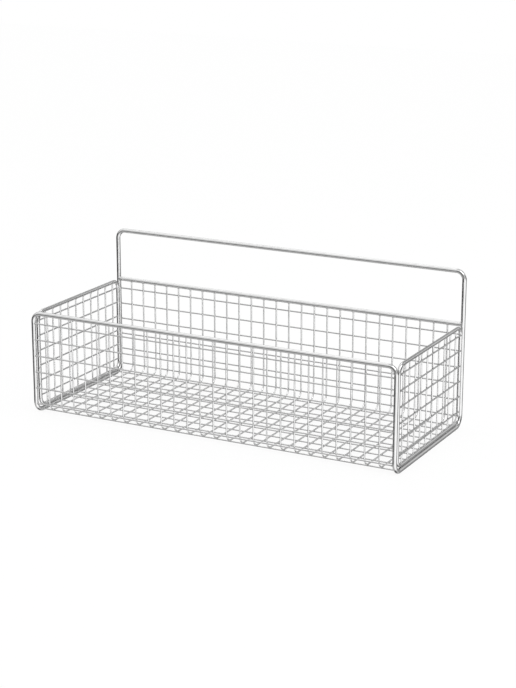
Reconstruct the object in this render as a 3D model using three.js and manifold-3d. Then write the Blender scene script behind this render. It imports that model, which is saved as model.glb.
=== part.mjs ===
import * as THREE from "three";
import { mergeVertices } from "three/addons/utils/BufferGeometryUtils.js";
import Module from "manifold-3d";

// Hanging rail basket: a welded wire basket below a raised rail that hangs on hooks or on a wall rail.
// Millimetres, +Z up, +X along the width, the front towards -Y. The origin lies on the ground under the middle.

// Frame, between the centrelines of its rods
const FRAME_WIDTH = 544;
const FRAME_DEPTH = 222;
const RIM_HEIGHT = 141.7;
const SIDE_RIM_HEIGHT = 140.1;
const HANG_HEIGHT = 215;

// Diameters
const MAIN_ROD = 6;
const SIDE_ROD = 5;
const WIRE = 2;

// Bend radii on the centrelines
const RIM_BEND = 11.5;
const HANG_BEND = 12;
const BASE_BEND = 15;
const SIDE_BEND = 12;
const U_BEND = 12.5;

// Welds: the gap left between two pieces that are welded, and how far the wires of a side grid sink together
const WELD_GAP = 0.15;
const WELD_SINK = 0.2;

// Side frames: how far their plane lies inside the main loop's, the clear space to the front uprights, and how
// much wider their lower bends are than a close fit in the loop's bends
const SIDE_INSET = 1;
const SIDE_FRONT_SPACE = 3.8;
const SIDE_BEND_EASE = 2.65;

// U wires: how many, and the outermost ones' distance from the uprights
const U_COUNT = 26;
const U_MARGIN = 22;

// Cross wires: how far their outer sides lie behind the outer sides of the uprights
const CROSS_INSET = 0.75;

// Cross wires of the front and the back: the lowest one above the bottom rail, the highest one below the rim
const WALL_COUNT = 6;
const WALL_LOW = 11.4;
const WALL_HIGH = 14.4;

// Cross wires of the bottom: their height above the bottom rail, the outermost ones' distance from the uprights
const BED_COUNT = 10;
const BED_RISE = 0.8;
const BED_MARGIN = 11.5;

// Side grids: uprights by their distance from the side frame's uprights, long wires from its two rails
const STAVE_COUNT = 10;
const STAVE_MARGIN = 15.9;
const LATH_COUNT = 6;
const LATH_LOW = 14.7;
const LATH_HIGH = 11.6;

// Facets: sides of a section and steps of a bend
const ROD_SIDES = 12;
const WIRE_SIDES = 8;
const ROD_STEPS = 6;
const WIRE_STEPS = 4;
const MERGE_DISTANCE = 1e-4;

// Places that follow from the sizes above
const SIDE_X = FRAME_WIDTH / 2;
const BACK_Y = FRAME_DEPTH / 2;
const BASE_Z = MAIN_ROD / 2;
const RIM_Z = BASE_Z + RIM_HEIGHT;
const HANG_Z = BASE_Z + HANG_HEIGHT;

const wasm = await Module();
wasm.setup();

// The centreline of a bent rod: straight runs between corners, each corner rounded to its own radius.
// Its stations lie at the ends of the runs and evenly along the bends.
class BentRod extends THREE.Curve {
  constructor(corners, bends, steps) {
    super();
    const last = corners.length - 1;
    const end = (from, to, at) => ({ point: at, tangent: to.clone().sub(from).normalize() });
    this.stations = [end(corners[0], corners[1], corners[0])];
    for (let i = 1; i < last; i++) {
      this.addBend(corners[i - 1], corners[i], corners[i + 1], bends[i - 1], steps);
    }
    this.stations.push(end(corners[last - 1], corners[last], corners[last]));
  }

  addBend(before, corner, after, radius, steps) {
    const along = corner.clone().sub(before).normalize();
    const onward = after.clone().sub(corner).normalize();
    const angle = along.angleTo(onward);
    const inward = onward.addScaledVector(along, -Math.cos(angle)).normalize();
    const centre = corner.clone().addScaledVector(along, -radius * Math.tan(angle / 2));
    centre.addScaledVector(inward, radius);
    for (let i = 0; i <= steps; i++) {
      const cos = Math.cos((angle * i) / steps);
      const sin = Math.sin((angle * i) / steps);
      const point = centre.clone().addScaledVector(inward, -radius * cos).addScaledVector(along, radius * sin);
      const tangent = along.clone().multiplyScalar(cos).addScaledVector(inward, sin);
      this.stations.push({ point, tangent });
    }
  }

  getPointAt(u) {
    return this.stationAt(u).point.clone();
  }

  getTangentAt(u) {
    return this.stationAt(u).tangent.clone();
  }

  stationAt(u) {
    return this.stations[Math.round(u * (this.stations.length - 1))];
  }
}

// A round section as a polygon whose flat sides touch the circle, so that the flats give the true diameter.
function roundSection(diameter, sides) {
  const radius = diameter / 2 / Math.cos(Math.PI / sides);
  const corner = (i) => {
    const turn = ((i + 0.5) * 2 * Math.PI) / sides;
    return new THREE.Vector2(radius * Math.cos(turn), radius * Math.sin(turn));
  };
  return new THREE.Shape(Array.from({ length: sides }, (_, i) => corner(i)));
}

function sweep(path, diameter, sides) {
  const options = { steps: path.stations.length - 1, extrudePath: path };
  return new THREE.ExtrudeGeometry(roundSection(diameter, sides), options);
}

// A rod closed on itself: the end faces go, and the walls meet where the path comes back to its start.
function closedSweep(path, diameter, sides) {
  const swept = sweep(path, diameter, sides);
  const [, walls] = swept.groups;
  const positions = swept.attributes.position.array.slice(3 * walls.start, 3 * (walls.start + walls.count));
  return new THREE.BufferGeometry().setAttribute("position", new THREE.BufferAttribute(positions, 3));
}

function solidOf(geometry) {
  const bare = geometry.clone();
  bare.deleteAttribute("normal");
  bare.deleteAttribute("uv");
  const merged = mergeVertices(bare, MERGE_DISTANCE);
  const vertProperties = merged.attributes.position.array;
  const triVerts = new Uint32Array(merged.index.array);
  return new wasm.Manifold(new wasm.Mesh({ numProp: 3, vertProperties, triVerts }));
}

function geometryOf(solid) {
  const { vertProperties, triVerts } = solid.getMesh();
  const geometry = new THREE.BufferGeometry();
  geometry.setAttribute("position", new THREE.BufferAttribute(vertProperties, 3));
  geometry.setIndex(new THREE.BufferAttribute(triVerts, 1));
  geometry.computeVertexNormals();
  return geometry;
}

function chromePiece(name, solid) {
  const chrome = new THREE.MeshStandardMaterial({ color: 0xd6d8da, roughness: 0.12, metalness: 1 });
  const mesh = new THREE.Mesh(geometryOf(solid), chrome);
  mesh.name = name;
  return mesh;
}

const point = (x, y, z) => new THREE.Vector3(x, y, z);
const withClearance = (diameter) => diameter + 2 * WELD_GAP;
const numbered = (name, i) => `${name}_${String(i + 1).padStart(2, "0")}`;

// Evenly spaced places, the first and the last included.
function spread(count, first, last) {
  return Array.from({ length: count }, (_, i) => first + ((last - first) * i) / Math.max(count - 1, 1));
}

function straightWire(from, to) {
  return solidOf(sweep(new BentRod([from, to], [], WIRE_STEPS), WIRE, WIRE_SIDES));
}

// Main frame loop: hanging rail, rear uprights, bottom side rails, front uprights and front rail in one rod.
function mainLoop(diameter) {
  const halfLoop = (side) => [
    point(side * SIDE_X, BACK_Y, HANG_Z),
    point(side * SIDE_X, BACK_Y, BASE_Z),
    point(side * SIDE_X, -BACK_Y, BASE_Z),
    point(side * SIDE_X, -BACK_Y, RIM_Z),
  ];
  const seam = point(0, BACK_Y, HANG_Z);
  const corners = [seam, ...halfLoop(1), ...halfLoop(-1).reverse(), seam];
  const bends = [HANG_BEND, BASE_BEND, BASE_BEND, RIM_BEND];
  const path = new BentRod(corners, [...bends, ...bends.toReversed()], ROD_STEPS);
  return solidOf(closedSweep(path, diameter, ROD_SIDES));
}

// Rear mid rail: a straight rod between the rear uprights, level with the front rail.
function midRail(diameter) {
  const path = new BentRod([point(-SIDE_X, BACK_Y, RIM_Z), point(SIDE_X, BACK_Y, RIM_Z)], [], ROD_STEPS);
  return solidOf(sweep(path, diameter, ROD_SIDES));
}

const mainClearance = mainLoop(withClearance(MAIN_ROD));
const midClearance = midRail(withClearance(MAIN_ROD));

function frameGroup() {
  const group = new THREE.Group();
  group.add(chromePiece("main_frame_loop", mainLoop(MAIN_ROD)));
  group.add(chromePiece("rear_mid_rail", midRail(MAIN_ROD).subtract(mainClearance)));
  return group;
}

// Side frame: a rounded rectangle in the U of the main loop, drawn in its own plane x = 0. It is welded to the
// bottom rail and to the rear upright, and stands clear of the front upright.
const NEST = (MAIN_ROD + SIDE_ROD) / 2 + WELD_GAP;
const SIDE_BACK_Y = BACK_Y - NEST;
const SIDE_FRONT_Y = (MAIN_ROD + SIDE_ROD) / 2 + SIDE_FRONT_SPACE - BACK_Y;
const SIDE_LOW_Z = BASE_Z + NEST;
const SIDE_TOP_Z = BASE_Z + SIDE_RIM_HEIGHT;

function sideFrame(diameter) {
  const seam = point(0, 0, SIDE_TOP_Z);
  const corners = [
    seam,
    point(0, SIDE_BACK_Y, SIDE_TOP_Z),
    point(0, SIDE_BACK_Y, SIDE_LOW_Z),
    point(0, SIDE_FRONT_Y, SIDE_LOW_Z),
    point(0, SIDE_FRONT_Y, SIDE_TOP_Z),
    seam,
  ];
  const lowBend = BASE_BEND - NEST + SIDE_BEND_EASE;
  const path = new BentRod(corners, [SIDE_BEND, lowBend, lowBend, SIDE_BEND], ROD_STEPS);
  return solidOf(closedSweep(path, diameter, ROD_SIDES));
}

// Side grid: long wires on the outer side and uprights on the inner side, fused where they cross and cut to
// the side frame. The outward direction is +1 or -1 along X.
function sideGrid(outward) {
  const x = (outward * (WIRE - WELD_SINK)) / 2;
  const laths = spread(LATH_COUNT, SIDE_LOW_Z + LATH_LOW, SIDE_TOP_Z - LATH_HIGH);
  const staves = spread(STAVE_COUNT, SIDE_FRONT_Y + STAVE_MARGIN, SIDE_BACK_Y - STAVE_MARGIN);
  const wires = [
    ...laths.map((z) => straightWire(point(x, SIDE_FRONT_Y, z), point(x, SIDE_BACK_Y, z))),
    ...staves.map((y) => straightWire(point(-x, y, SIDE_LOW_Z), point(-x, y, SIDE_TOP_Z))),
  ];
  const grid = wires.reduce((joined, wire) => joined.add(wire));
  return grid.subtract(sideFrame(withClearance(SIDE_ROD)));
}

// One side: the left and right ones are mirror images.
function sideGroup(label, outward) {
  const side = new THREE.Group();
  side.position.x = outward * (SIDE_X - SIDE_INSET);
  side.add(chromePiece(`side_frame_${label}`, sideFrame(SIDE_ROD)));
  side.add(chromePiece(`side_grid_${label}`, sideGrid(outward)));
  return side;
}

// U wires and cross wires: the cross wires lie outside the U wires, one wire and one weld gap away.
const CROSSING = WIRE + WELD_GAP;
const CROSS_Y = BACK_Y + MAIN_ROD / 2 - CROSS_INSET - WIRE / 2;
const CROSS_Z = BASE_Z + BED_RISE;
const U_Y = CROSS_Y - CROSSING;
const U_Z = CROSS_Z + CROSSING;

// How far a cross wire moves in round a bend of the U wires, once it lies past the start of that bend.
function bendSag(past) {
  const radius = U_BEND + CROSSING;
  return past > 0 ? radius - Math.sqrt(radius * radius - past * past) : 0;
}

function uWire(name, x) {
  const corners = [point(0, -U_Y, RIM_Z), point(0, -U_Y, U_Z), point(0, U_Y, U_Z), point(0, U_Y, RIM_Z)];
  const bent = solidOf(sweep(new BentRod(corners, [U_BEND, U_BEND], WIRE_STEPS), WIRE, WIRE_SIDES));
  const mesh = chromePiece(name, bent.subtract(mainClearance.translate([-x, 0, 0])).subtract(midClearance));
  mesh.position.x = x;
  return mesh;
}

function crossWire(name, y, z) {
  const wire = straightWire(point(-SIDE_X, 0, 0), point(SIDE_X, 0, 0));
  const mesh = chromePiece(name, wire.subtract(mainClearance.translate([0, -y, -z])));
  mesh.position.set(0, y, z);
  return mesh;
}

function meshGroup() {
  const group = new THREE.Group();
  const columns = spread(U_COUNT, U_MARGIN - SIDE_X, SIDE_X - U_MARGIN);
  columns.forEach((x, i) => group.add(uWire(numbered("u_wire", i), x)));
  const rows = spread(WALL_COUNT, BASE_Z + WALL_LOW, RIM_Z - WALL_HIGH);
  rows.forEach((z, i) => {
    const y = CROSS_Y - bendSag(U_Z + U_BEND - z);
    group.add(crossWire(numbered("front_wire", i), -y, z), crossWire(numbered("back_wire", i), y, z));
  });
  spread(BED_COUNT, BED_MARGIN - BACK_Y, BACK_Y - BED_MARGIN).forEach((y, i) => {
    const z = CROSS_Z + bendSag(Math.abs(y) - (U_Y - U_BEND));
    group.add(crossWire(numbered("bottom_wire", i), y, z));
  });
  return group;
}

const basket = new THREE.Group();
basket.name = "hanging_rail_basket";
basket.add(frameGroup(), sideGroup("right", 1), sideGroup("left", -1), meshGroup());

export default basket;
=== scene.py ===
"""Looks of the hanging rail basket: chromed rods and wires with their welds, in a white studio.

Lengths are in metres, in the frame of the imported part: +X along the width, +Y towards the
hanging rail, +Z up.
"""

import math
import random
from collections import namedtuple

import bpy
import numpy as np
from mathutils import Matrix, Vector

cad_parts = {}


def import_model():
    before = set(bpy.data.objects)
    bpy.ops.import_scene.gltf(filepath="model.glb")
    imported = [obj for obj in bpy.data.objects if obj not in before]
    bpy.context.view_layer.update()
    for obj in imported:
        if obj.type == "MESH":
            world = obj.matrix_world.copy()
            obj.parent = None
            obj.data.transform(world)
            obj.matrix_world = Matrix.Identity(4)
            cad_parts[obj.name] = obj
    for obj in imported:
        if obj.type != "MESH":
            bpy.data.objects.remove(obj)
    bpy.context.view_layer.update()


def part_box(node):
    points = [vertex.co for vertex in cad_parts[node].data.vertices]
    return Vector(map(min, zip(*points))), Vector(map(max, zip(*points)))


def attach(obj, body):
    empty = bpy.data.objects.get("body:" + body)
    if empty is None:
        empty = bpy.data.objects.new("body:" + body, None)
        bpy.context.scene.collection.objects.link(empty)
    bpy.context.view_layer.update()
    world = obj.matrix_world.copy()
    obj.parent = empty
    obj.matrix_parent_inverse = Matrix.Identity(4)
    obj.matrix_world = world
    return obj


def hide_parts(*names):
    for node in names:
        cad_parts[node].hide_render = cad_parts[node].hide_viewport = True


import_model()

MM = 0.001

# Frame, between the centrelines of its rods
SIDE_X = 272 * MM
BACK_Y = 111 * MM
BASE_Z = 3 * MM
RIM_Z = 144.7 * MM
HANG_Z = 218 * MM
SIDE_PLANE_X = 271 * MM
SIDE_BACK_Y = 105.35 * MM
SIDE_FRONT_Y = -101.7 * MM
SIDE_LOW_Z = 8.65 * MM
SIDE_TOP_Z = 143.1 * MM

# Radii of the rods and wires
MAIN_R = 3 * MM
MID_R = 2.98 * MM
SIDE_R = 2.5 * MM
WIRE_R = 1 * MM

# Bend radii on the centrelines
RIM_BEND = 11.5 * MM
HANG_BEND = 12 * MM
BASE_BEND = 15 * MM
SIDE_BEND = 12 * MM
U_BEND = 12.5 * MM

# Wires, sunk into each other where they are welded
U_COUNT = 26
WALL_COUNT = 6
BED_COUNT = 10
U_Y = 110.3 * MM
U_Z = 5.75 * MM
CROSS_SINK = 0.2 * MM
STAVE_COUNT = 10
STAVE_FRONT_Y = -85.8 * MM
STAVE_BACK_Y = 89.45 * MM
STAVE_OFF = 0.5 * MM
LATH_OFF = 0.9 * MM
LATH_COUNT = 6
LATH_LOW_Z = 23.35 * MM
LATH_HIGH_Z = 131.5 * MM

# How far rods and wires end short of the centreline of the rod that they run into
MID_SHORT = 0.2 * MM
GRID_SHORT = 1.2 * MM
U_SHORT = 1.4 * MM
CROSS_SHORT = 1.6 * MM

# Welds of the mid rail, from its ends
MID_WELD_PLACE = 2.6 * MM
MID_WELD_HALF = 2.2 * MM
MID_WELD_HEIGHT = 0.55 * MM
MID_WELD_FOCUS = 2.5

# Welds of a side frame: along the bottom rail by Y, up the rear upright by Z
TACK_HALF = 4.5 * MM
TACK_HEIGHT = 0.55 * MM
TACK_FOCUS = 3
BASE_TACKS = (-62 * MM, 0, 62 * MM)
BACK_TACKS = (42 * MM, 108 * MM)

# Welds at the ends of the wires: half length, height, and place from the end
END_HALF = 1.5 * MM
END_HEIGHT = 0.5 * MM
GRID_END_PLACE = 1.15 * MM
U_END_PLACE = 1.35 * MM
CROSS_END_PLACE = 1.25 * MM

# Welds where wires cross
NUGGET_HALF = 1.7 * MM
NUGGET_FOCUS = 1.5
GRID_NUGGET = 0.2 * MM
U_NUGGET = 0.16 * MM
CROSS_NUGGET = 0.34 * MM

# Share by which welds differ from each other, and that for the height of a side frame's welds
VARIETY = 0.15
TACK_VARIETY = 0.1

# Painted shade by the run of wires: darker on the horizontal runs, darkest on the back wall
U_PAINTED_SHADE = 0.96
LATH_PAINTED_SHADE = 0.72
STAVE_PAINTED_SHADE = 1.0
FRONT_PAINTED_SHADE = 0.75
BACK_PAINTED_SHADE = 0.64
BED_PAINTED_SHADE = 0.75

# Facets: sides of a section, steps of a quarter bend, least step along a rod
ROD_SIDES = 40
WIRE_SIDES = 16
ROD_BEND_STEPS = 28
WIRE_BEND_STEPS = 18
LEAST_STEP = 0.02 * MM
SHARP_ANGLE = math.radians(50)

# Rings of a weld, as shares of its half length
WELD_RINGS = (-1.0, -0.72, -0.46, -0.22, 0.0, 0.22, 0.46, 0.72, 1.0)

# Points along a path that are tried for the nearest
NEAREST_TRIES = 4000

dice = random.Random(41)


def varied(value, share):
    return value * dice.uniform(1 - share, 1 + share)


def spread(count, first, last):
    return [first + (last - first) * i / (count - 1) for i in range(count)]


# Straight run or round bend of a rod: length along the rod at its start, start point, direction
# and side direction there, its length, and the axis and radius of a bend
Run = namedtuple("Run", "start point along side length axis radius")


class RodPath:
    """The centreline of a bent rod, as straight runs and round bends, read by length along it."""

    def __init__(self, corners, radii=()):
        corners = [Vector(c) for c in corners]
        self.runs = []
        self.length = 0.0
        here = corners[0]
        along = (corners[1] - here).normalized()
        side = along.orthogonal().normalized()
        for corner, after, radius in zip(corners[1:-1], corners[2:], radii):
            onward = (after - corner).normalized()
            axis = along.cross(onward).normalized()
            angle = along.angle(onward)
            cut = radius * math.tan(angle / 2)
            start = corner - along * cut
            self.add(here, along, side, (start - here).length)
            self.add(start, along, side, radius * angle, axis, radius)
            side = Matrix.Rotation(angle, 3, axis) @ side
            along = onward
            here = corner + onward * cut
        self.add(here, along, side, (corners[-1] - here).length)

    def add(self, point, along, side, length, axis=None, radius=0.0):
        self.runs.append(Run(self.length, point, along, side, length, axis, radius))
        self.length += length

    def at(self, s):
        """Point, direction and a side direction, carried along without twist."""
        run = next((run for run in self.runs if s <= run.start + run.length), self.runs[-1])
        t = s - run.start
        if run.axis is None:
            return run.point + run.along * t, run.along, run.side
        turn = Matrix.Rotation(t / run.radius, 3, run.axis)
        inward = run.axis.cross(run.along)
        point = run.point + inward * run.radius - turn @ inward * run.radius
        return point, turn @ run.along, turn @ run.side

    def nearest(self, place):
        """Length along the path of its point that is nearest to a place."""
        steps = [self.length * i / NEAREST_TRIES for i in range(NEAREST_TRIES + 1)]
        return min(steps, key=lambda s: (self.at(s)[0] - place).length_squared)

    def bend_stations(self, steps):
        stations = [0.0, self.length]
        for run in self.runs:
            if run.axis is not None:
                stations += [run.start + run.length * i / steps for i in range(steps + 1)]
        return stations


class Weld:
    """A swelling of a rod where it is welded: its place along the rod, half length and height,
    and the direction that it is focused in, or None for all round."""

    def __init__(self, s, half, height, towards=None, focus=1.0):
        self.s = s
        self.half = half
        self.height = height
        self.towards = None if towards is None else np.array(towards)
        self.focus = focus

    def share(self, s, normals):
        t = abs(s - self.s) / self.half
        if t >= 1:
            return np.zeros(len(normals))
        bell = (1 - t * t) ** 2
        if self.towards is None:
            return np.full(len(normals), bell)
        return bell * np.clip(normals @ self.towards, 0, 1) ** self.focus


def ring_places(path, steps, welds):
    stations = path.bend_stations(steps)
    for weld in welds:
        stations += [weld.s + weld.half * share for share in WELD_RINGS]
    stations = sorted(s for s in stations if 0 <= s <= path.length)
    rings = [stations[0]]
    for s in stations[1:]:
        if s - rings[-1] > LEAST_STEP:
            rings.append(s)
    rings[-1] = path.length
    return rings


def tube(path, radius, sides, steps, welds=(), closed=False):
    """Faces, vertices, straightened coordinates and weld shares of a round rod along a path."""
    rings = ring_places(path, steps, welds)
    if closed:
        rings.pop()
    turns = np.arange(sides) * 2 * math.pi / sides
    circle = np.stack([np.cos(turns), np.sin(turns)], 1)
    points, straight, shares = [], [], []
    for s in rings:
        point, along, side = path.at(s)
        normals = circle @ np.array([side, along.cross(side)])
        swell = np.zeros(sides)
        share = np.zeros(sides)
        for weld in welds:
            if abs(s - weld.s) < weld.half:
                part = weld.share(s, normals)
                swell = np.maximum(swell, part * weld.height)
                share = np.maximum(share, part)
        reach = radius + swell
        points.append(np.array(point) + normals * reach[:, None])
        shares.append(share)
        straight.append(np.column_stack([circle * reach[:, None], np.full(sides, s)]))
    faces = tube_faces(len(rings), sides, seam_shift(path, sides) if closed else None)
    return faces, *(np.concatenate(rows) for rows in (points, straight, shares))


def tube_faces(count, sides, shift):
    """Faces between rings of vertices, capped where no shift is given for a closing seam."""
    closed = shift is not None
    faces = []
    for i in range(count if closed else count - 1):
        here, onward = i * sides, (i + 1) % count * sides
        offset = shift if i + 1 == count else 0
        for k in range(sides):
            k2 = (k + 1) % sides
            far, far2 = onward + (k + offset) % sides, onward + (k2 + offset) % sides
            faces.append((here + k, here + k2, far2, far))
    if not closed:
        faces.append(tuple(reversed(range(sides))))
        faces.append(tuple(range((count - 1) * sides, count * sides)))
    return faces


def seam_shift(path, sides):
    """How many sides a closed rod's section has turned when it comes back to its start."""
    first, last = path.runs[0].side, path.runs[-1].side
    across = path.runs[-1].along.cross(first)
    angle = math.atan2(last.dot(across), last.dot(first))
    return round(angle / (2 * math.pi) * sides) % sides


def joined(tubes):
    faces, count = [], 0
    for own_faces, points, *_ in tubes:
        faces += [tuple(i + count for i in face) for face in own_faces]
        count += len(points)
    return faces, *(np.concatenate(rows) for rows in list(zip(*tubes))[1:])


def mesh_object(name, shape, level=1.0):
    """A mesh of a shape, with what its material needs at each vertex: the straightened
    coordinates, the share of a weld and the level of painted shade that darkens its run."""
    faces, points, straight, shares = shape
    mesh = bpy.data.meshes.new(name)
    mesh.from_pydata(points.tolist(), [], faces)
    rod = mesh.attributes.new("rod", "FLOAT_VECTOR", "POINT")
    rod.data.foreach_set("vector", straight.astype(np.float32).ravel())
    weld = mesh.attributes.new("weld", "FLOAT", "POINT")
    weld.data.foreach_set("value", shares.astype(np.float32))
    # painted shade: a level per run of wires that darkens its tone, for how light falls on it
    painted_shade = mesh.attributes.new("painted_shade", "FLOAT", "POINT")
    painted_shade.data.foreach_set("value", np.full(len(points), level, np.float32))
    mesh.validate()
    obj = bpy.data.objects.new(name, mesh)
    bpy.context.scene.collection.objects.link(obj)
    return obj


def place(obj, node, material, slot):
    """Finishes a piece: smooth, in its material, in the place of its CAD node."""
    mesh = obj.data
    mesh.shade_smooth()
    mesh.set_sharp_from_angle(angle=SHARP_ANGLE)
    mesh.materials.clear()
    mesh.materials.append(material)
    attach(obj, "root")
    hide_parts(node)


# Materials

# Noise on a rod, by its straightened coordinates: stretch across and along, scale, detail and
# roughness
DRAW_LINES = ((1.0, 1.0, 0.012), 5200, 3, 0.6)
CLOUDS = ((1.0, 1.0, 0.5), 160, 4, 0.55)
PITS = ((1.0, 1.0, 1.0), 2600, 2, 0.5)
RIPPLE_STRETCH = (0.6, 0.6, 1.0)
RIPPLE_DETAIL = 2
RIPPLE_ROUGHNESS = 0.45

# Heights of the bumps
DRAW_LINE_HEIGHT = 0.0012 * MM
PIT_HEIGHT = 0.02 * MM

# Ranges of the clouds that tone and polish vary over
TONE_CLOUD = (0.35, 0.65)
POLISH_CLOUD = (0.3, 0.7)

# How much of its own tone a weld has, and how much rougher it is
WELD_TINT = 0.7
WELD_ROUGHNESS = 0.16


def node(tree, kind, **values):
    made = tree.nodes.new(kind)
    for key, value in values.items():
        setattr(made, key, value)
    return made


def ranged(tree, source, low, high, from_low, from_high, smooth=False):
    kind = "SMOOTHSTEP" if smooth else "LINEAR"
    made = node(tree, "ShaderNodeMapRange", interpolation_type=kind)
    tree.links.new(source, made.inputs["Value"])
    made.inputs["From Min"].default_value = from_low
    made.inputs["From Max"].default_value = from_high
    made.inputs["To Min"].default_value = low
    made.inputs["To Max"].default_value = high
    return made.outputs["Result"]


def feed(tree, value, socket):
    """Sets a socket to a plain number, or links it to another node's output."""
    if isinstance(value, (int, float)):
        socket.default_value = value
    else:
        tree.links.new(value, socket)


def arithmetic(tree, operation, a, b):
    made = node(tree, "ShaderNodeMath", operation=operation)
    feed(tree, a, made.inputs[0])
    feed(tree, b, made.inputs[1])
    return made.outputs["Value"]


def noise(tree, vector, stretch, scale, detail, roughness):
    scaled = node(tree, "ShaderNodeVectorMath", operation="MULTIPLY")
    tree.links.new(vector, scaled.inputs[0])
    scaled.inputs[1].default_value = stretch
    made = node(tree, "ShaderNodeTexNoise")
    tree.links.new(scaled.outputs["Vector"], made.inputs["Vector"])
    made.inputs["Scale"].default_value = scale
    made.inputs["Detail"].default_value = detail
    made.inputs["Roughness"].default_value = roughness
    return made.outputs["Fac"]


def chrome(name, bright, shade, weld_tone, polish, ripple_scale, ripple_height):
    """Chrome plate on drawn steel: faint draw lines along the rod, slow ripples, dulled and
    pitted at welds."""
    mat = bpy.data.materials.new(name)
    mat.use_nodes = True
    tree = mat.node_tree
    tree.nodes.clear()
    out = node(tree, "ShaderNodeOutputMaterial")
    bsdf = node(tree, "ShaderNodeBsdfPrincipled")
    tree.links.new(bsdf.outputs["BSDF"], out.inputs["Surface"])
    bsdf.inputs["Metallic"].default_value = 1.0
    rod = node(tree, "ShaderNodeAttribute", attribute_name="rod").outputs["Vector"]
    weld = node(tree, "ShaderNodeAttribute", attribute_name="weld").outputs["Fac"]
    painted_shade = node(tree, "ShaderNodeAttribute", attribute_name="painted_shade").outputs["Fac"]

    lines = noise(tree, rod, *DRAW_LINES)
    cloud = noise(tree, rod, *CLOUDS)
    pits = noise(tree, rod, *PITS)
    wave = noise(tree, rod, RIPPLE_STRETCH, ripple_scale, RIPPLE_DETAIL, RIPPLE_ROUGHNESS)

    tone = node(tree, "ShaderNodeMix", data_type="RGBA")
    tone.inputs["A"].default_value = (*shade, 1)
    tone.inputs["B"].default_value = (*bright, 1)
    tree.links.new(ranged(tree, cloud, 0, 1, *TONE_CLOUD), tone.inputs["Factor"])
    spot = node(tree, "ShaderNodeMix", data_type="RGBA")
    spot.inputs["B"].default_value = (*weld_tone, 1)
    tree.links.new(tone.outputs["Result"], spot.inputs["A"])
    tree.links.new(arithmetic(tree, "MULTIPLY", weld, WELD_TINT), spot.inputs["Factor"])
    # Painted shade: the tone is scaled by the run's level, darker on the horizontal runs
    shaded_tone = node(tree, "ShaderNodeVectorMath", operation="SCALE")
    tree.links.new(spot.outputs["Result"], shaded_tone.inputs["Vector"])
    tree.links.new(painted_shade, shaded_tone.inputs["Scale"])
    tree.links.new(shaded_tone.outputs["Vector"], bsdf.inputs["Base Color"])

    rough = ranged(tree, cloud, *polish, *POLISH_CLOUD)
    dulled = arithmetic(tree, "MULTIPLY", weld, WELD_ROUGHNESS)
    tree.links.new(arithmetic(tree, "ADD", rough, dulled), bsdf.inputs["Roughness"])

    fine = arithmetic(tree, "MULTIPLY", lines, DRAW_LINE_HEIGHT)
    slow = arithmetic(tree, "MULTIPLY", wave, ripple_height)
    pitted = arithmetic(tree, "MULTIPLY", arithmetic(tree, "MULTIPLY", pits, weld), PIT_HEIGHT)
    height = arithmetic(tree, "ADD", arithmetic(tree, "ADD", fine, slow), pitted)
    bump = node(tree, "ShaderNodeBump")
    bump.inputs["Strength"].default_value = 1.0
    bump.inputs["Distance"].default_value = 1.0
    tree.links.new(height, bump.inputs["Height"])
    tree.links.new(bump.outputs["Normal"], bsdf.inputs["Normal"])
    return mat


ROD_CHROME = chrome(
    "rod_chrome",
    bright=(0.675, 0.675, 0.675),
    shade=(0.615, 0.615, 0.615),
    weld_tone=(0.45, 0.45, 0.45),
    polish=(0.06, 0.11),
    ripple_scale=70,
    ripple_height=0.5 * MM,
)
WIRE_CHROME = chrome(
    "wire_chrome",
    bright=(0.855, 0.855, 0.855),
    shade=(0.775, 0.775, 0.775),
    weld_tone=(0.50, 0.50, 0.50),
    polish=(0.08, 0.14),
    ripple_scale=150,
    ripple_height=0.1 * MM,
)


# Thick rods

def half_loop(side):
    return [
        (side * SIDE_X, BACK_Y, HANG_Z),
        (side * SIDE_X, BACK_Y, BASE_Z),
        (side * SIDE_X, -BACK_Y, BASE_Z),
        (side * SIDE_X, -BACK_Y, RIM_Z),
    ]


def main_loop():
    seam = (0, BACK_Y, HANG_Z)
    corners = [seam, *half_loop(1), *reversed(half_loop(-1)), seam]
    bends = [HANG_BEND, BASE_BEND, BASE_BEND, RIM_BEND]
    path = RodPath(corners, [*bends, *reversed(bends)])
    shape = tube(path, MAIN_R, ROD_SIDES, ROD_BEND_STEPS, closed=True)
    place(mesh_object("frame_loop", shape), "main_frame_loop", ROD_CHROME, "rod_chrome")


def mid_rail():
    end = SIDE_X - MID_SHORT
    path = RodPath([(-end, BACK_Y, RIM_Z), (end, BACK_Y, RIM_Z)])
    welds = []
    for s in (MID_WELD_PLACE, path.length - MID_WELD_PLACE):
        for z in (1, -1):
            welds.append(Weld(s, MID_WELD_HALF, MID_WELD_HEIGHT, (0, 0, z), MID_WELD_FOCUS))
    shape = tube(path, MID_R, ROD_SIDES, ROD_BEND_STEPS, welds)
    place(mesh_object("mid_rail", shape), "rear_mid_rail", ROD_CHROME, "rod_chrome")


def side_frame(label, side):
    x = side * SIDE_PLANE_X
    seam = (x, 0, SIDE_TOP_Z)
    corners = [
        seam,
        (x, SIDE_BACK_Y, SIDE_TOP_Z),
        (x, SIDE_BACK_Y, SIDE_LOW_Z),
        (x, SIDE_FRONT_Y, SIDE_LOW_Z),
        (x, SIDE_FRONT_Y, SIDE_TOP_Z),
        seam,
    ]
    path = RodPath(corners, [SIDE_BEND] * 4)
    spots = [Vector((side * SIDE_X, y, BASE_Z)) for y in BASE_TACKS]
    spots += [Vector((side * SIDE_X, BACK_Y, z)) for z in BACK_TACKS]
    welds = []
    for spot in spots:
        s = path.nearest(spot)
        towards = (spot - path.at(s)[0]).normalized()
        height = varied(TACK_HEIGHT, TACK_VARIETY)
        welds.append(Weld(s, varied(TACK_HALF, VARIETY), height, towards, TACK_FOCUS))
    shape = tube(path, SIDE_R, ROD_SIDES, ROD_BEND_STEPS, welds, closed=True)
    rim = mesh_object(f"side_rim_{label}", shape)
    place(rim, f"side_frame_{label}", ROD_CHROME, "rod_chrome")


# Thin wires

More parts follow.
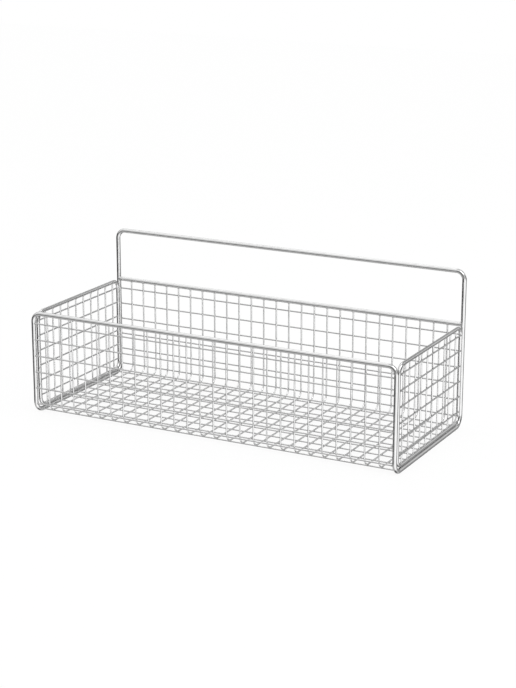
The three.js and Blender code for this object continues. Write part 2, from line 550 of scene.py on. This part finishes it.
def nugget(s, towards, height):
    """The weld of two crossing wires, a little different each time."""
    half = varied(NUGGET_HALF, VARIETY)
    return Weld(s, half, varied(height, VARIETY), towards, NUGGET_FOCUS)


def wire(path, end_place, nuggets):
    """A wire with the welds at its two ends, where it runs into the rods, and its nuggets."""
    ends = [Weld(s, END_HALF, END_HEIGHT) for s in (end_place, path.length - end_place)]
    return tube(path, WIRE_R, WIRE_SIDES, WIRE_BEND_STEPS, ends + nuggets)


def side_grid(label, side):
    laths = spread(LATH_COUNT, LATH_LOW_Z, LATH_HIGH_Z)
    staves = spread(STAVE_COUNT, STAVE_FRONT_Y, STAVE_BACK_Y)
    outer = side * (SIDE_PLANE_X + LATH_OFF)
    inner = side * (SIDE_PLANE_X - STAVE_OFF)
    front, back = SIDE_FRONT_Y + GRID_SHORT, SIDE_BACK_Y - GRID_SHORT
    low, high = SIDE_LOW_Z + GRID_SHORT, SIDE_TOP_Z - GRID_SHORT
    long_wires, uprights = [], []
    for z in laths:
        path = RodPath([(outer, front, z), (outer, back, z)])
        nuggets = [nugget(y - front, (-side, 0, 0), GRID_NUGGET) for y in staves]
        long_wires.append(wire(path, GRID_END_PLACE, nuggets))
    for y in staves:
        path = RodPath([(inner, y, low), (inner, y, high)])
        nuggets = [nugget(z - low, (side, 0, 0), GRID_NUGGET) for z in laths]
        uprights.append(wire(path, GRID_END_PLACE, nuggets))
    # The laths get painted shade, darker than the staves
    grid = mesh_object(f"side_mesh_{label}", joined(long_wires), LATH_PAINTED_SHADE)
    fuse(grid, mesh_object(f"staves_{label}", joined(uprights), STAVE_PAINTED_SHADE))
    place(grid, f"side_grid_{label}", WIRE_CHROME, "wire_chrome")


def fuse(obj, other):
    """Joins two meshes into one closed surface."""
    union = obj.modifiers.new("union", "BOOLEAN")
    union.operation = "UNION"
    union.solver = "MANIFOLD"
    union.object = other
    depsgraph = bpy.context.evaluated_depsgraph_get()
    fused = bpy.data.meshes.new_from_object(obj.evaluated_get(depsgraph))
    obj.modifiers.clear()
    obj.data = fused
    bpy.data.objects.remove(other)


def names(stem, count):
    return [f"{stem}_{i + 1:02d}" for i in range(count)]


def middle(cad_node):
    low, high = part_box(cad_node)
    return (low + high) / 2


# Runs of cross wires with their levels of painted shade, darkest on the back wall
CROSS_RUNS = (
    ("front_wire", WALL_COUNT, FRONT_PAINTED_SHADE),
    ("back_wire", WALL_COUNT, BACK_PAINTED_SHADE),
    ("bottom_wire", BED_COUNT, BED_PAINTED_SHADE),
)
CROSS_NODES = [
    (cross, level) for stem, count, level in CROSS_RUNS for cross in names(stem, count)
]
U_NODES = names("u_wire", U_COUNT)
U_TOP = RIM_Z - U_SHORT
CROSS_END = SIDE_X - CROSS_SHORT


def u_path(x):
    corners = [(x, -U_Y, U_TOP), (x, -U_Y, U_Z), (x, U_Y, U_Z), (x, U_Y, U_TOP)]
    return RodPath(corners, [U_BEND, U_BEND])


def bent_and_cross_wires():
    path = u_path(0.0)
    crossings = []
    for cross, _ in CROSS_NODES:
        spot = middle(cross)
        spot.x = 0
        s = path.nearest(spot)
        crossings.append((s, (spot - path.at(s)[0]).normalized()))
    columns = [middle(u).x for u in U_NODES]
    for u, x in zip(U_NODES, columns):
        nuggets = [nugget(s, towards, U_NUGGET) for s, towards in crossings]
        shape = wire(u_path(x), U_END_PLACE, nuggets)
        # The bent wires get only a slight painted shade
        obj = mesh_object(u.replace("u_wire", "bent_wire"), shape, U_PAINTED_SHADE)
        place(obj, u, WIRE_CHROME, "wire_chrome")
    for (cross, level), (_, towards) in zip(CROSS_NODES, crossings):
        spot = middle(cross) - towards * CROSS_SINK
        own = RodPath([(-CROSS_END, spot.y, spot.z), (CROSS_END, spot.y, spot.z)])
        nuggets = [nugget(x + CROSS_END, -towards, CROSS_NUGGET) for x in columns]
        shape = wire(own, CROSS_END_PLACE, nuggets)
        obj = mesh_object(cross.replace("_wire", "_cross"), shape, level)
        place(obj, cross, WIRE_CHROME, "wire_chrome")


main_loop()
mid_rail()
for label, side in (("left", -1), ("right", 1)):
    side_frame(label, side)
    side_grid(label, side)
bent_and_cross_wires()


# Studio

# Level of the studio, then patches of it in turn: azimuth and elevation, the angles from there
# that it fills and that it fades out at, all in degrees, and its level
STUDIO_LEVEL = 0.07
STUDIO = (
    (0, 90, 48.5, 98, 1.60),  # ceiling
    (0, -90, 54, 72, 0.64),  # ground
    (326, -22, 40, 62, 1.45),  # softbox, low in front
    (90, -80, 13, 28, 0.12),  # dark ground under the basket
    (244, -31, 12, 20, 0.55),  # light ground, front left
    (98, -26, 11.5, 21.5, 0.02),  # dark ground behind
    (215, 36, 7, 42, 0.95),  # light wall, left
    (76, 24, 27, 36, 0.42),  # grey wall, back right
    (67, -20, 10, 18, 0.42),  # grey ground, back right
    (62, 16, 9, 17, 0.86),  # small light in the grey wall
    (118, 14, 4, 12, 0.76),  # small light, back left
    (139.5, 6, 19.5, 29.5, 0.02),  # dark wall, back left
    (5, 17, 16, 30, 0.26),  # grey wall, right
    (275, 19, 14, 27, 0.28),  # grey wall, front
    (305, 9, 8, 17, 0.10),  # dark strip, front right
    (45, 46, 9, 18, 0.10),  # dark strip, high at the back right
    (0, 90, 12, 24, 0.45),  # grey middle of the ceiling
)

# Floor: half its width, its paint, and the share of it that glows white to the camera
FLOOR_HALF = 4.0
FLOOR_PAINT = (0.95, 0.95, 0.95, 1)
FLOOR_GLOW = 0.9

# Lamp: place, aim, size and power in watts
LAMP_PLACE = (1.4, -0.2, 2.0)
LAMP_AIM = (0, 0, 0)
LAMP_SIZE = (1.2, 1.2)
LAMP_POWER = 8

# Camera: place, angles in radians, and lens and height of its sensor in millimetres
CAMERA_PLACE = (1.120172, -2.091708, 0.798386)
CAMERA_YAW = 0.484661
CAMERA_PITCH = 0.282774
CAMERA_ROLL = 0.001055
CAMERA_LENS = 94.667
CAMERA_SENSOR = 36

WHITE = (1, 1, 1, 1)


def heading(azimuth, elevation):
    """Unit vector from angles in degrees, the azimuth counted from +X towards +Y."""
    turn, rise = math.radians(azimuth), math.radians(elevation)
    flat = math.cos(rise)
    return Vector((flat * math.cos(turn), flat * math.sin(turn), math.sin(rise)))


def studio_level(tree):
    """Brightness of the studio by direction, from its patches in turn."""
    direction = node(tree, "ShaderNodeTexCoord").outputs["Generated"]
    level = STUDIO_LEVEL
    for azimuth, elevation, inner, outer, value in STUDIO:
        dot = node(tree, "ShaderNodeVectorMath", operation="DOT_PRODUCT")
        tree.links.new(direction, dot.inputs[0])
        dot.inputs[1].default_value = heading(azimuth, elevation)
        edge = (math.cos(math.radians(outer)), math.cos(math.radians(inner)))
        share = ranged(tree, dot.outputs["Value"], 0, 1, *edge, smooth=True)
        mix = node(tree, "ShaderNodeMix", data_type="FLOAT")
        tree.links.new(share, mix.inputs["Factor"])
        feed(tree, level, mix.inputs["A"])
        mix.inputs["B"].default_value = value
        level = mix.outputs["Result"]
    return level


def by_camera_ray(tree, out, seen, other):
    """Sends one shader to the output for camera rays, and another for all other rays."""
    path = node(tree, "ShaderNodeLightPath")
    mix = node(tree, "ShaderNodeMixShader")
    tree.links.new(path.outputs["Is Camera Ray"], mix.inputs["Fac"])
    tree.links.new(other, mix.inputs[1])
    tree.links.new(seen, mix.inputs[2])
    tree.links.new(mix.outputs["Shader"], out.inputs["Surface"])


def world():
    """White to the camera. Metal sees a studio: a bright ceiling, a softbox in front, darker
    sides and ground."""
    made = bpy.data.worlds.new("studio")
    bpy.context.scene.world = made
    made.use_nodes = True
    tree = made.node_tree
    tree.nodes.clear()
    out = node(tree, "ShaderNodeOutputWorld")
    studio = node(tree, "ShaderNodeBackground")
    white = node(tree, "ShaderNodeBackground")
    for background in (studio, white):
        background.inputs["Color"].default_value = WHITE
    tree.links.new(studio_level(tree), studio.inputs["Strength"])
    white.inputs["Strength"].default_value = 1.0
    by_camera_ray(tree, out, white.outputs["Background"], studio.outputs["Background"])


def floor():
    """White to the camera, with a faint shadow. Other rays pass through to the studio's ground."""
    mesh = bpy.data.meshes.new("floor")
    signs = ((-1, -1), (1, -1), (1, 1), (-1, 1))
    corners = [(x * FLOOR_HALF, y * FLOOR_HALF, 0) for x, y in signs]
    mesh.from_pydata(corners, [], [(0, 1, 2, 3)])
    obj = bpy.data.objects.new("floor", mesh)
    bpy.context.scene.collection.objects.link(obj)
    mat = bpy.data.materials.new("floor_white")
    mat.use_nodes = True
    tree = mat.node_tree
    tree.nodes.clear()
    out = node(tree, "ShaderNodeOutputMaterial")
    paint = node(tree, "ShaderNodeBsdfDiffuse")
    paint.inputs["Color"].default_value = FLOOR_PAINT
    glow = node(tree, "ShaderNodeEmission")
    glow.inputs["Strength"].default_value = 1.0
    lit = node(tree, "ShaderNodeMixShader")
    lit.inputs["Fac"].default_value = FLOOR_GLOW
    tree.links.new(paint.outputs["BSDF"], lit.inputs[1])
    tree.links.new(glow.outputs["Emission"], lit.inputs[2])
    clear = node(tree, "ShaderNodeBsdfTransparent")
    by_camera_ray(tree, out, lit.outputs["Shader"], clear.outputs["BSDF"])
    mesh.materials.append(mat)


def lamp():
    light = bpy.data.lights.new("ceiling_softbox", "AREA")
    light.shape = "RECTANGLE"
    light.size, light.size_y = LAMP_SIZE
    light.energy = LAMP_POWER
    obj = bpy.data.objects.new("ceiling_softbox", light)
    obj.location = LAMP_PLACE
    aim = Vector(LAMP_AIM) - Vector(LAMP_PLACE)
    obj.rotation_euler = aim.to_track_quat("-Z", "Y").to_euler()
    bpy.context.scene.collection.objects.link(obj)


def camera():
    turn_x, turn_y = math.cos(CAMERA_YAW), math.sin(CAMERA_YAW)
    flat, drop = math.cos(CAMERA_PITCH), math.sin(CAMERA_PITCH)
    forward = Vector((-turn_y * flat, turn_x * flat, -drop))
    right = Vector((turn_x, turn_y, 0))
    up = right.cross(forward)
    across = right * math.cos(CAMERA_ROLL) + up * math.sin(CAMERA_ROLL)
    upward = up * math.cos(CAMERA_ROLL) - right * math.sin(CAMERA_ROLL)
    data = bpy.data.cameras.new("photo_camera")
    data.sensor_fit = "VERTICAL"
    data.sensor_height = CAMERA_SENSOR
    data.lens = CAMERA_LENS
    obj = bpy.data.objects.new("photo_camera", data)
    turn = Matrix((across, upward, -forward)).transposed().to_4x4()
    obj.matrix_world = Matrix.Translation(CAMERA_PLACE) @ turn
    bpy.context.scene.collection.objects.link(obj)
    bpy.context.scene.camera = obj


world()
floor()
lamp()
camera()

bpy.context.scene.view_settings.view_transform = "Standard"
